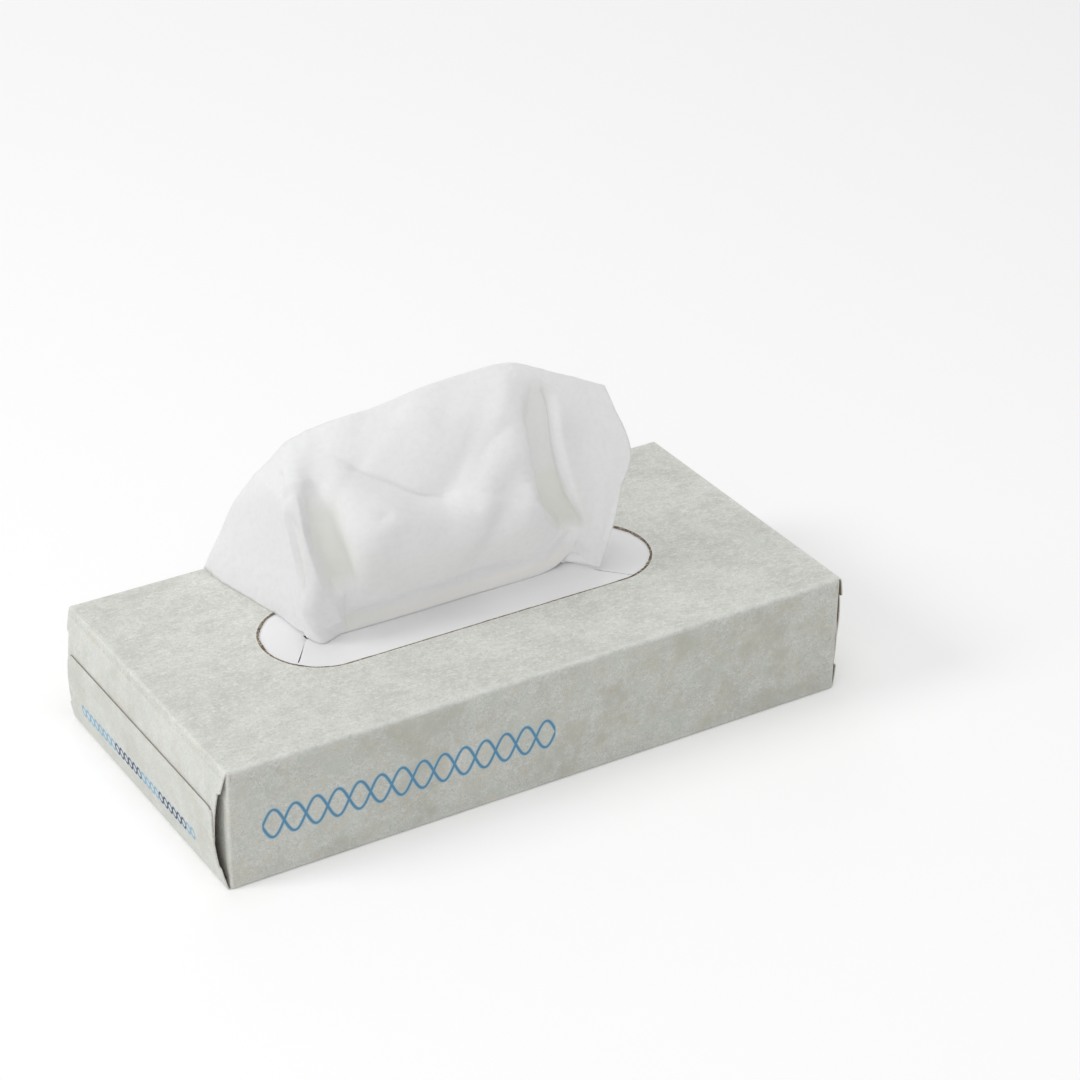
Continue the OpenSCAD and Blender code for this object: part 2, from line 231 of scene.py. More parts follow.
def makeCrepe():
    group, given, out = newGroup(
        "paperCrepe",
        [("Place", "NodeSocketVector", None), ("Ripple Scale", "NodeSocketFloat", 1500.0),
         ("Pulp Scale", "NodeSocketFloat", 500.0)],
        [("Height", "NodeSocketFloat"), ("Pulp", "NodeSocketFloat")])
    ripple = noise(group, given["Place"], given["Ripple Scale"], 2.0, 0.5, (0.3, 1.0, 1.0))
    pulp = noise(group, given["Place"], given["Pulp Scale"], 4.0, 0.6)
    feed(group, out["Height"], addUp(group, product(group, ripple, 0.6), product(group, pulp, 0.4)))
    feed(group, out["Pulp"], pulp)
    return group


mottledPaper = makeMottle()
foldWearAndHighlight = makeFoldWearAndHighlight()
paperCrepe = makeCrepe()
print("effects: node groups are made")


# Board: printed outside, plain inside, pale cut edges

board = {
    "light": (0.690, 0.700, 0.655),
    "dark": (0.575, 0.585, 0.538),
    "speck": (0.470, 0.478, 0.435),
    # pale fibre colour, also used for the painted highlight on the folds and the painted light on the left end
    "fold": (0.80, 0.81, 0.78),
    "warm": (0.640, 0.610, 0.520),
    "cool": (0.570, 0.600, 0.545),
    "stain": (0.480, 0.470, 0.400),
    "plain": (0.300, 0.262, 0.200),
    "cut": (0.78, 0.75, 0.68),
    # painted shadow in the seams between the end flaps
    "seam": (0.26, 0.235, 0.20),
    "bandBlue": (0.080, 0.262, 0.430),
    "bandPale": (0.400, 0.560, 0.660),
    "endBlue": (0.230, 0.450, 0.620),
    "endNavy": (0.040, 0.050, 0.150),
    "roughness": 0.62,
    "plainRoughness": 0.85,
    "cutRoughness": 0.9,
    "shine": 0.35,
    "relief": 0.00020,           # depth of the bump
    "waviness": 3.0,             # broad unevenness beside the fine one
    "wearAndHighlight": 0.75,                # rubbed folds, with a painted highlight along them
    "endPaintedLight": 0.35,             # painted light: the left end is lighter by this share,
    "endMarks": 0.4,             # and shows this share of the marks
    "seamAmount": 0.9,
    "footShadow": 0.6,                 # painted shadow line where the front meets the table
    "footShade": 0.25,
    "footFrom": 0.0001,
    "footTo": 0.0006,
}

# Marks on the sides: noise scale, detail and roughness, where the mask starts and ends,
# how strong it is there and there, colour
sideMarks = [
    (2300.0, 2.0, 0.80, 0.50, 0.62, 0.00, 0.55, "speck"),
    (1900.0, 2.0, 0.80, 0.38, 0.50, 0.50, 0.00, "fold"),
    (130.0, 6.0, 0.72, 0.46, 0.64, 0.00, 0.60, "warm"),
    (95.0, 6.0, 0.72, 0.36, 0.52, 0.60, 0.00, "cool"),
    (32.0, 8.0, 0.78, 0.48, 0.62, 0.00, 0.50, "stain"),
]

zone = {  # where each look starts on the carton, in metres
    "leftEnd": -halfLength - 0.0002,
    "front": -halfWidth + 0.0005,
    "sidesBelow": boxTop - 0.0012,
    "topAbove": boxTop - 0.0006,
    "seamPast": halfLength + 0.0010,
    "seamWithin": halfWidth - 0.0055,
}

band = {  # interlaced lines on the front panel
    "from": -0.1030,
    "to": 0.0025,
    "middle": 0.0197,
    "swing": 0.0050,
    "wave": 0.0151,
    "line": 0.00046,
    "halo": 0.00080,
    "soft": 0.00010,
    "lineAmount": 0.92,
    "haloAmount": 0.6,
}

endBand = {  # the same, smaller, on the left end flap
    "from": -0.0390,
    "to": 0.0445,
    "middle": 0.0106,
    "swing": 0.00190,
    "wave": 0.00642,
    "line": 0.00038,
    "halo": 0.00066,
    "soft": 0.00010,
    "lineAmount": 0.95,
    "haloAmount": 0.5,
    "darkFrom": (-0.0325, -0.0003),
    "darkTo": (-0.0133, 0.0190),
}

mouth = {
    "half": 0.05175,             # half of its straight stretch
    "radius": 0.0205,
    "wander": -0.0010,           # how far the pale lip wanders
    "lipFrom": -0.0004,
    "lipTo": 0.0002,
    "lip": 0.8,
}


def mouthDistance(tree, x, y):
    along = calc(tree, "MAXIMUM", calc(tree, "SUBTRACT", calc(tree, "ABSOLUTE", x), mouth["half"]), 0.0)
    far = calc(tree, "SQRT", addUp(tree, product(tree, along, along), product(tree, y, y)))
    return calc(tree, "SUBTRACT", far, mouth["radius"])


def bandMasks(tree, motif, along, z):
    turn = 2 * math.pi / motif["wave"]
    angle = product(tree, calc(tree, "SUBTRACT", along, motif["from"]), turn)
    rise = product(tree, calc(tree, "SINE", angle), motif["swing"])
    slope = product(tree, calc(tree, "COSINE", angle), motif["swing"] * turn)
    stretch = calc(tree, "SQRT", addUp(tree, 1.0, product(tree, slope, slope)))
    level = calc(tree, "SUBTRACT", z, motif["middle"])
    one = calc(tree, "ABSOLUTE", calc(tree, "SUBTRACT", level, rise))
    two = calc(tree, "ABSOLUTE", calc(tree, "ADD", level, rise))
    off = calc(tree, "DIVIDE", calc(tree, "MINIMUM", one, two), stretch)
    inside = betweenAny(tree, along, [motif["from"]], [motif["to"]])
    return [product(tree, inside, ramp(tree, off, motif[key] - motif["soft"], motif[key] + motif["soft"], 1.0, 0.0))
            for key in ("line", "halo")]


def betweenAny(tree, value, starts, ends):
    parts = [product(tree, calc(tree, "GREATER_THAN", value, start), calc(tree, "LESS_THAN", value, end))
             for start, end in zip(starts, ends)]
    return addUp(tree, *parts)


def makePrintedBoard():
    material, tree, shader = newMaterial("printedBoard")
    place = objectPlace(tree)
    x, y, z = splitPlace(tree, place)
    leftEnd = calc(tree, "LESS_THAN", x, zone["leftEnd"])
    front = calc(tree, "LESS_THAN", y, zone["front"])
    paper = useGroup(tree, mottledPaper, {"Place": place, "Cloud Scale": 75.0, "Grain Scale": 1500.0})
    colour = mixColour(tree, ramp(tree, paper["Cloud"], 0.40, 0.62), board["light"], board["dark"])
    colour = mixColour(tree, ramp(tree, paper["Grain"], 0.47, 0.66, 0.0, 0.62), colour, board["speck"])
    colour = mixColour(tree, ramp(tree, paper["Fibre"], 0.50, 0.66, 0.0, 0.66), colour, board["fold"])
    # Painted light: the whole left end is mixed towards the pale colour
    colour = mixColour(tree, product(tree, leftEnd, board["endPaintedLight"]), colour, board["fold"])

    # Marks on the sides, fainter on the left end
    side = product(tree, calc(tree, "LESS_THAN", z, zone["sidesBelow"]),
                   ramp(tree, leftEnd, 0.0, 1.0, 1.0, board["endMarks"]))
    for scale, detail, rough, start, end, atStart, atEnd, shade in sideMarks:
        amount = ramp(tree, noise(tree, place, scale, detail, rough), start, end, atStart, atEnd)
        colour = mixColour(tree, product(tree, side, amount), colour, board[shade])

    # Printed bands on the front and the left end
    dark = betweenAny(tree, y, endBand["darkFrom"], endBand["darkTo"])
    endInk = mixColour(tree, dark, board["endBlue"], board["endNavy"])
    for motif, along, where, ink in ((band, x, front, board["bandBlue"]), (endBand, y, leftEnd, endInk)):
        line, halo = bandMasks(tree, motif, along, z)
        colour = mixColour(tree, product(tree, halo, motif["haloAmount"], where), colour, board["bandPale"])
        colour = mixColour(tree, product(tree, line, motif["lineAmount"], where), colour, ink)

    # Rubbed folds with a painted highlight along them, pale lip of the mouth, painted shadow at the foot of the
    # front
    wearAndHighlight = useGroup(tree, foldWearAndHighlight, {"Place": place})["WearAndHighlight"]
    colour = mixColour(tree, product(tree, wearAndHighlight, board["wearAndHighlight"]), colour, board["fold"])
    torn = addUp(tree, mouthDistance(tree, x, y), product(tree, noise(tree, place, 700.0, 3.0), mouth["wander"]))
    lip = product(tree, ramp(tree, torn, mouth["lipFrom"], mouth["lipTo"], 1.0, 0.0),
                  calc(tree, "GREATER_THAN", z, zone["topAbove"]), mouth["lip"])
    colour = mixColour(tree, lip, colour, board["cut"])
    # Painted shadow: the front is darkened just above the table, where its contact shadow falls
    footShadow = product(tree, ramp(tree, z, board["footFrom"], board["footTo"], board["footShadow"], 0.0), front)
    colour = mixColour(tree, footShadow, colour, tinted(board["dark"], board["footShade"]))

    roughness = ramp(tree, paper["Cloud"], 0.3, 0.7, board["roughness"] - 0.06, board["roughness"] + 0.1)
    paint(tree, shader, {"Base Color": colour, "Roughness": roughness, "Specular IOR Level": board["shine"]})
    relief = addUp(tree, product(tree, paper["Grain"], 0.5), product(tree, paper["Fibre"], 0.5),
                   product(tree, noise(tree, place, 14.0, 2.0), board["waviness"]))
    addBump(tree, shader, relief, strength=0.35, distance=board["relief"])
    return material


def makePlainBoard():
    material, tree, shader = newMaterial("plainBoard")
    paper = useGroup(tree, mottledPaper, {"Place": objectPlace(tree), "Cloud Scale": 60.0, "Grain Scale": 900.0})
    colour = mixColour(tree, ramp(tree, paper["Cloud"], 0.3, 0.7), board["plain"], tinted(board["plain"], 1.25))
    colour = mixColour(tree, ramp(tree, paper["Fibre"], 0.5, 0.8, 0.0, 0.5), colour, board["cut"])
    paint(tree, shader, {"Base Color": colour, "Roughness": board["plainRoughness"]})
    addBump(tree, shader, paper["Fibre"], strength=0.4, distance=0.0002)
    return material


def makeCutEdge():
    material, tree, shader = newMaterial("cutBoard")
    place = objectPlace(tree)
    x, y = splitPlace(tree, place)[:2]
    paper = useGroup(tree, mottledPaper, {"Place": place, "Cloud Scale": 120.0, "Grain Scale": 1600.0})
    colour = mixColour(tree, ramp(tree, paper["Grain"], 0.35, 0.7), board["cut"], tinted(board["cut"], 0.72))
    # Painted shadow: the cut edges in the seams of the end flaps are darkened
    seam = product(tree, calc(tree, "GREATER_THAN", calc(tree, "ABSOLUTE", x), zone["seamPast"]),
                   calc(tree, "LESS_THAN", calc(tree, "ABSOLUTE", y), zone["seamWithin"]), board["seamAmount"])
    colour = mixColour(tree, seam, colour, board["seam"])
    paint(tree, shader, {"Base Color": colour, "Roughness": board["cutRoughness"]})
    addBump(tree, shader, paper["Grain"], strength=0.5, distance=0.0001)
    return material


cartonCore = {  # faces that look away from this core are printed, those that look at it are plain
    "half": (halfLength - 0.004, halfWidth - 0.005, boxTop / 2 - 0.005),
    "endPast": halfLength - 0.0022,          # past it, a face is sorted by its own lean
    "lean": 0.3,
    "facing": 0.5,
}


def dressCarton():
    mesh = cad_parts["carton"].data
    mesh.materials.clear()
    for material in (makePrintedBoard(), makePlainBoard(), makeCutEdge()):
        mesh.materials.append(material)
    middle = Vector((0, 0, boxTop / 2))
    for face in mesh.polygons:
        spot = face.center - middle
        if abs(spot.x) > cartonCore["endPast"] and abs(face.normal.x) > cartonCore["lean"]:
            outward = face.normal.x * math.copysign(1, spot.x)
        else:
            core = Vector([max(-h, min(h, v)) for v, h in zip(spot, cartonCore["half"])])
            outward = face.normal.dot((spot - core).normalized())
        if outward > cartonCore["facing"]:
            face.material_index = 0
        elif outward < -cartonCore["facing"]:
            face.material_index = 1
        else:
            face.material_index = 2
        face.use_smooth = False


dressCarton()
print("carton: printed, plain and cut board")


# Torn edge round the mouth

tornEdge = {
    "stations": 900,
    "top": boxTop + 0.00003,
    "bottom": boxTop - 0.00038,
    "tuck": 0.00018,             # how far it reaches into the board
    "depth": 0.00028,
    "bendDepth": 0.9,            # deeper by this share round the mouth's ends,
    "bendFrom": 0.8,             # from this share of the straight stretch on
    "bendOver": 0.4,
    "fray": 0.00042,
    "curl": 0.00004,
    "coarse": 12,                # stations over which the fray is evened out
    "fine": 1,
    "roughness": 0.95,
    "seed": 7,
    "colour": (0.115, 0.088, 0.065),
    "pale": (0.42, 0.36, 0.28),
}


def smoothRandom(generator, count, reach):
    values = generator.random(count)
    window = np.hanning(reach * 2 + 3)
    ring = np.concatenate([values[-reach - 1:], values, values[:reach + 1]])
    values = np.convolve(ring, window / window.sum(), "valid")
    return (values - values.min()) / (values.max() - values.min())


def ringPoint(s):
    straight, r = mouth["half"] * 2, mouth["radius"]
    bend = math.pi * r
    s = s % (2 * straight + 2 * bend)
    if s < straight:
        return s - straight / 2, -r, 0, -1
    s -= straight
    if s < bend:
        a = s / r
        return straight / 2 + r * math.sin(a), -r * math.cos(a), math.sin(a), -math.cos(a)
    s -= bend
    if s < straight:
        return straight / 2 - s, r, 0, 1
    a = (s - straight) / r
    return -straight / 2 - r * math.sin(a), r * math.cos(a), -math.sin(a), math.cos(a)


def meshPiece(name, points, faces, material, smooth=True):
    mesh = bpy.data.meshes.new(name)
    mesh.from_pydata([tuple(p) for p in points], [], faces)
    mesh.validate()
    mesh.polygons.foreach_set("use_smooth", [smooth] * len(mesh.polygons))
    mesh.materials.append(material)
    piece = bpy.data.objects.new(name, mesh)
    bpy.context.scene.collection.objects.link(piece)
    return piece


def makeTornEdge():
    material, tree, shader = newMaterial("tornFibre")
    fibre = noise(tree, objectPlace(tree), 1100.0, 3.0, 0.7)
    colour = mixColour(tree, ramp(tree, fibre, 0.42, 0.66), tornEdge["colour"], tornEdge["pale"])
    paint(tree, shader, {"Base Color": colour, "Roughness": tornEdge["roughness"]})
    n = tornEdge["stations"]
    generator = np.random.default_rng(tornEdge["seed"])
    coarse = smoothRandom(generator, n, tornEdge["coarse"])
    fine = smoothRandom(generator, n, tornEdge["fine"])
    length = 4 * mouth["half"] + 2 * math.pi * mouth["radius"]
    bendFrom, bendOver = mouth["half"] * tornEdge["bendFrom"], mouth["half"] * tornEdge["bendOver"]
    top, bottom, tuck = tornEdge["top"], tornEdge["bottom"], tornEdge["tuck"]
    points, faces = [], []
    for i in range(n):
        x, y, nx, ny = ringPoint(length * i / n)
        bend = min(1.0, max(0.0, (abs(x) - bendFrom) / bendOver))
        lip = tornEdge["depth"] * (0.5 + coarse[i]) * (1 + tornEdge["bendDepth"] * bend)
        tip = lip + tornEdge["fray"] * fine[i] * (0.6 + 0.6 * coarse[i])
        profile = [(tuck, top), (-lip, top + tornEdge["curl"] * fine[i]), (-tip, (top + bottom) / 2),
                   (-lip, bottom), (tuck, bottom)]
        points += [(x + nx * off, y + ny * off, z) for off, z in profile]
    ring = len(profile)
    for i in range(n):
        a, b = i * ring, (i + 1) % n * ring
        for k in range(ring):
            m = (k + 1) % ring
            faces.append((a + k, b + k, b + m, a + m))
    piece = meshPiece("torn_edge", points, faces, material, smooth=False)
    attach(piece, "root")


makeTornEdge()
print("torn edge: fibres round the mouth")


# Corner folds: the board between the inner flaps and the top and bottom panels

cornerFold = {
    "centre": (halfLength - 0.0017, halfWidth - 0.0010),
    "radius": 0.0010,
    "thickness": 0.00045,
    "lap": 0.0004,               # along the long panel
    "back": 0.0020,              # along the flap
    "arcPoints": 7,
    "levels": (0.00012, 0.0003, 0.0006, 0.0010, 0.0031),
    "thinnest": 0.0001,          # least radius of the inner side
    "roughness": 0.8,
    "colour": (0.72, 0.715, 0.66),
}


def cornerRow(level):
    r = cornerFold["radius"]
    outer = math.sqrt(r * r - max(0.0, r - level) ** 2)
    inner = max(cornerFold["thinnest"], outer - cornerFold["thickness"])
    angles = np.linspace(0, math.pi / 2, cornerFold["arcPoints"])
    row = []
    for radius, turn in ((outer, 1), (inner, -1)):
        arc = [(radius * math.sin(a), radius * math.cos(a)) for a in angles]
        row += [(-cornerFold["lap"], radius), *arc, (radius, -cornerFold["back"])][::turn]
    return row


def makeCornerFolds():
    material, tree, shader = newMaterial("cornerBoard")
    paper = useGroup(tree, mottledPaper, {"Place": objectPlace(tree), "Cloud Scale": 90.0, "Grain Scale": 1500.0})
    colour = mixColour(tree, ramp(tree, paper["Grain"], 0.4, 0.7), cornerFold["colour"], board["dark"])
    paint(tree, shader, {"Base Color": colour, "Roughness": cornerFold["roughness"]})
    centreX, centreY = cornerFold["centre"]
    rows = [cornerRow(level) for level in cornerFold["levels"]]
    n, last = len(rows[0]), len(rows) - 1
    points, faces = [], []
    for side in (-1, 1):
        for front in (-1, 1):
            for upward in (-1, 1):
                base = len(points)
                flip = side * front * upward
                for level, row in zip(cornerFold["levels"], rows):
                    z = boxTop - level if upward > 0 else level
                    points += [(side * (centreX + dx), front * (centreY + dy), z) for dx, dy in row]
                for k in range(last):
                    a, b = base + k * n, base + (k + 1) * n
                    for i in range(n):
                        j = (i + 1) % n
                        faces.append((a + i, a + j, b + j, b + i)[::flip])
                for a, turn in ((base, -flip), (base + last * n, flip)):      # the two closed ends
                    for i in range(n // 2 - 1):
                        faces.append((a + i, a + i + 1, a + n - 2 - i, a + n - 1 - i)[::turn])
    piece = meshPiece("corner_folds", points, faces, material, smooth=False)
    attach(piece, "root")


makeCornerFolds()
print("corner folds: added")


# Film

film = {
    "colour": (0.83, 0.83, 0.84),
    "shade": 0.965,              # darkest share of the colour
    "roughness": 0.42,
    "shine": 0.4,
    "warp": 0.0011,              # depth of its soft waves
    "warpScale": 26.0,
}


def dressFilm():
    material, tree, shader = newMaterial("whiteFilm")
    place = objectPlace(tree)
    soft = noise(tree, place, film["warpScale"], 2.0, 0.5, (0.5, 1.0, 1.0))
    colour = mixColour(tree, ramp(tree, soft, 0.35, 0.65), film["colour"], tinted(film["colour"], film["shade"]))
    rough = ramp(tree, noise(tree, place, 90.0), 0.3, 0.7, film["roughness"] - 0.05, film["roughness"] + 0.08)
    paint(tree, shader, {"Base Color": colour, "Roughness": rough, "Specular IOR Level": film["shine"]})
    addBump(tree, shader, soft, strength=0.5, distance=film["warp"])
    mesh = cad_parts["slit_film"].data
    mesh.materials.clear()
    mesh.materials.append(material)


dressFilm()
print("film: dressed")


# Tissue paper

tissue = {
    "colour": (0.905, 0.905, 0.912),
    "shade": 0.97,               # darkest share of the colour
    # painted shade in the valleys, darker and yellow-green
    "valleyShade": (0.83, 0.835, 0.765),
    # painted warm light at the foot of the pouch
    "base": (0.965, 0.935, 0.870),
    "roughness": 0.92,
    "shine": 0.2,
    "sheen": 0.15,
    "glow": 0.7,                 # light passed through the paper,
    "glowReach": (1.0, 1.0, 0.95),
    "depth": 0.0022,             # and how deep
    "crepe": 0.00012,            # depth of the bump
}


def pointMask(tree, name):
    return put(tree, "ShaderNodeAttribute", attribute_name=name).outputs["Fac"]


def makeTissuePaper(name, valleyShade=False):
    material, tree, shader = newMaterial(name)
    place = objectPlace(tree)
    crepe = useGroup(tree, paperCrepe, {"Place": place})
    dim = tinted(tissue["colour"], tissue["shade"])
    colour = mixColour(tree, ramp(tree, crepe["Pulp"], 0.4, 0.7), tissue["colour"], dim)
    if valleyShade:
        # Painted light: a warm streaky band at the foot of the pouch
        streak = ramp(tree, noise(tree, place, 60.0, 3.0, 0.6, (0.25, 1.0, 3.0)), 0.35, 0.6, 0.3, 1.0)
        colour = mixColour(tree, product(tree, pointMask(tree, "base"), streak), colour, tissue["base"])
        # Painted shade: darker yellow-green along the valleys
        colour = mixColour(tree, pointMask(tree, "valleyShade"), colour, tissue["valleyShade"])
    paint(tree, shader, {
        "Base Color": colour,
        "Roughness": tissue["roughness"],
        "Specular IOR Level": tissue["shine"],
        "Sheen Weight": tissue["sheen"],
        "Subsurface Weight": tissue["glow"],
        "Subsurface Radius": tissue["glowReach"],
        "Subsurface Scale": tissue["depth"],
    })
    addBump(tree, shader, crepe["Height"], strength=0.22, distance=tissue["crepe"])
    return material


# Pack of folded sheets

pack = {
    "bundles": 12,
    "steps": 8,
    "stations": 36,
    "bulge": 0.16,               # share of a bundle's height
    "edge": 0.00009,             # from one sheet's edge to the next
    "looseness": 0.00025,
    "seed": 3,
}


def makePack():
    low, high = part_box("tissue_stack")
    generator = np.random.default_rng(pack["seed"])
    steps, stations = pack["steps"], pack["stations"]
    levels = pack["bundles"] * steps
    rise = (high.z - low.z) / levels
    bulge = (high.z - low.z) / pack["bundles"] * pack["bulge"]
    slack = generator.random((stations, pack["bundles"] + 1, 2)) * pack["looseness"]
    points, faces = [], []
    for i in range(stations):
        x = low.x + (high.x - low.x) * i / (stations - 1)
        for side in (0, 1):
            for k in range(levels + 1):
                t = (k % steps) / steps
                inset = bulge * (1 - 4 * t * (1 - t)) + pack["edge"] * (k % 2) + slack[i, k // steps, side]
                y = (low.y + inset) if side == 0 else (high.y - inset)
                points.append((x, y, low.z + rise * k))
    half = levels + 1
    ring = 2 * half
    for i in range(stations - 1):
        a, b = i * ring, (i + 1) * ring
        for k in range(levels):
            faces.append((b + k, b + k + 1, a + k + 1, a + k))
            m = half + k
            faces.append((a + m + 1, b + m + 1, b + m, a + m))
        faces.append((a + half, b + half, b, a))
        faces.append((b + levels, b + ring - 1, a + ring - 1, a + levels))
    last = (stations - 1) * ring
    for k in range(levels):
        faces.append((k + 1, k + half + 1, k + half, k))
        faces.append((last + k + half, last + k + half + 1, last + k + 1, last + k))
    piece = meshPiece("folded_pack", points, faces, makeTissuePaper("packedTissue"), smooth=False)
    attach(piece, "root")
    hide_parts("tissue_stack")


makePack()
print("pack: folded bundles")


# Pulled sheet

sheet = {
    "width": 0.200,
    "length": 0.210,
    "thickness": 0.25,           # mm, two plies
    "colsPerSpan": 17,
    "rowsPerSpan": 29,
    "dropRows": 12,
    "backRows": 8,
    "turnRows": 10,
    "aheadRows": 8,
    "ripple": 0.16,              # mm
    "ripples": ((1.0, (22, 9)), (0.5, (7, 5))),          # share and reach of each
    "restsAt": 43.17,            # lowest level over the top panel, in mm
    "restsPast": 20,             # mm from the slit
    "still": (0.9, 0.8),         # rail above which the folds set in, and over how many rails
    "seed": 11,
}

baseBandLightAndShade = {  # painted warm light at the foot of the pouch, with painted yellow shade on its left part, in rails and stations: where, over how much
    "rowsIn": (1.0, 0.06),
    "rowsOut": (1.48, 0.16),
    "colsIn": (4.3, 0.4),
    "colsOut": (9.3, 0.8),
    "yellowOut": (6.2, 1.4),
}

# Rails across the sheet, in mm from the middle of the slit at the level of the top panel
neckRail = [[-56.3, 0, 1.3], [-54.5, 0.5, 1.3], [-52.3, 0.4, 1.3], [-49.6, -0.5, 1.3],
            [-46, -0.5, 1.3], [-42, 0.3, 1.3], [-31, 0.4, 1.3], [-4, -0.3, 1.3], [26, -0.4, 1.3],
            [33, 0.3, 1.3], [35.3, 0.4, 1.3], [37.5, -0.2, 1.3], [39.5, 0, 1.3]]
creaseRail = [[-57, 4, 0.7], [-57, 1.4, 1.4], [-57.5, -2.2, 1.4], [-54.3, -6.7, 0.6],
              [-47, -4.8, 0.8], [-42.6, -4.8, 0.8], [-25.8, -5, 0.8], [0.2, -4.8, 0.8],
              [30.2, -4.5, 0.8], [41.6, -2.8, 4.2], [43.8, -5.6, 3.8], [46, -8.7, 2.2],
              [48.2, -10.8, 0.8]]
lowRail = [[-58.5, 16, 0.2], [-57.5, 10, 8.5], [-57.8, 1, 13], [-59.3, -5, 14.5],
           [-49.5, -6.5, 16], [-44.5, -5.6, 15], [-35, -7.2, 14], [-8, -7.6, 15],
           [21, -7.6, 15.5], [38.5, -3.5, 15.5], [44, -6.5, 16], [48.3, -9.5, 15.5],
           [52.5, -11, 15]]
midRail = [[-62, 31.5, 0.2], [-56.5, 24, 12], [-56, 8, 23], [-59.8, -2.3, 28],
           [-55.3, -4.1, 29.5], [-47.5, -5, 28.5], [-40, -9.6, 33], [-13, -11.2, 37],
           [17.5, -10.4, 35.5], [32.5, -3, 28], [37.5, -6, 31], [48.5, -7, 28.5],
           [58.5, -6.5, 26.5]]
upperRail = [[-64.6, 44, 0.2], [-57, 37, 16], [-56.5, 24, 37], [-58.3, 8.5, 45],
             [-55.2, 3.2, 46], [-49.5, 4, 42.5], [-38.5, 3, 51], [-7, 0, 57], [19.5, -2, 59.5],
             [31, 2, 47.5], [35, -1, 51.5], [51, 0, 43], [66.5, 0, 36]]
hemRail = [[-65.6, 56.5, 0.2], [-59, 50, 22], [-54, 43, 36.5], [-50, 39, 43.5], [-46, 33, 52.5],
           [-39, 28, 58.5], [-26.5, 21, 65], [-2.5, 14, 72], [20.5, 9, 75.5], [32.5, 6.5, 72],
           [39, 7, 68.5], [51, 8, 62.5], [61.5, 9, 57]]
rails = np.array([neckRail, creaseRail, lowRail, midRail, upperRail, hemRail], float)

buried = {  # the half that lies below the slit, in mm
    "top": boxTop / mm,
    "high": 40.7,
    "turn": 0.5,
    "turnY": 50.55,
    "length": 122.0,
    "fan": 60.0,
}


def smooth(share):
    return share * share * (3 - 2 * share)


def rampUp(values, start, over):
    return np.clip((values - start) / over, 0, 1)


def rampDown(values, end, over):
    return np.clip((end - values) / over, 0, 1)


def alongRow(points, s):
    n = len(points) - 1
    ends = np.concatenate([[2 * points[0] - points[1]], points, [2 * points[-1] - points[-2]]])
    k = np.minimum(s.astype(int), n - 1)
    a, b, c, d = ends[k], ends[k + 1], ends[k + 2], ends[k + 3]
    t = (s - k).reshape(-1, *[1] * (a.ndim - 1))
    return b + 0.5 * t * (c - a + t * (2 * a - 5 * b + 4 * c - d + t * (3 * (b - c) + d - a)))


def shownHalf(cols, rows):
    across = np.stack([alongRow(r, cols) for r in rails])
    t = rows[rows < 1][:, None, None]        # straight to the crease, smooth above it
    grid = np.concatenate([across[0] * (1 - t) + across[1] * t, alongRow(across[1:], rows[rows >= 1] - 1)])
    grid[..., 2] += buried["top"]
    return grid


def buriedHalf(cols):
    neckZ = buried["top"] + neckRail[0][2]
    drop = neckZ - buried["high"]
    turn, turnY = buried["turn"], buried["turnY"]
    dropL, backL, turnL = drop * math.pi / 2, turnY - drop, turn * math.pi
    ahead = buried["length"] - dropL - backL - turnL
    lengths = np.concatenate([
        dropL * np.arange(sheet["dropRows"]) / sheet["dropRows"],
        dropL + backL * np.arange(sheet["backRows"]) / sheet["backRows"],
        dropL + backL + turnL * np.arange(sheet["turnRows"]) / sheet["turnRows"],
        buried["length"] - ahead * (1 - np.arange(sheet["aheadRows"] + 1) / sheet["aheadRows"])])
    top = alongRow(np.array(neckRail, float), cols)
    side = np.linspace(-1, 1, len(cols)) * sheet["width"] / mm / 2
    lines = []
    for s in lengths:
        back = s - dropL
        on = back - backL
        if back < 0:                         # down through the slit
            a = math.pi / 2 * s / dropL
            y, z = drop * (1 - math.cos(a)), neckZ - drop * math.sin(a)
        elif on < 0:                         # to the back, on the pack
            y, z = drop + back, buried["high"]
        elif on < turnL:                     # folded over
            a = on / turn
            y, z = turnY + turn * math.sin(a), buried["high"] - turn * (1 - math.cos(a))
        else:                                # to the front again, under itself
            y, z = turnY - (on - turnL), buried["high"] - 2 * turn
        fan = smooth(min(1, s / buried["fan"]))
        shut = max(0, 1 - s / drop)
        lines.append(np.stack([top[:, 0] * (1 - fan) + side * fan, y + top[:, 1] * shut, np.full(len(cols), z)], 1))
    return np.array(lines)[::-1][:-1]


def gridNormals(grid):
    across = np.empty_like(grid)
    across[:, 1:-1] = grid[:, 2:] - grid[:, :-2]
    across[:, 0], across[:, -1] = grid[:, 1] - grid[:, 0], grid[:, -1] - grid[:, -2]
    up = np.empty_like(grid)
    up[1:-1] = grid[2:] - grid[:-2]
    up[0], up[-1] = grid[1] - grid[0], grid[-1] - grid[-2]
    n = np.cross(across, up)
    return n / np.maximum(np.linalg.norm(n, axis=-1, keepdims=True), 1e-9)
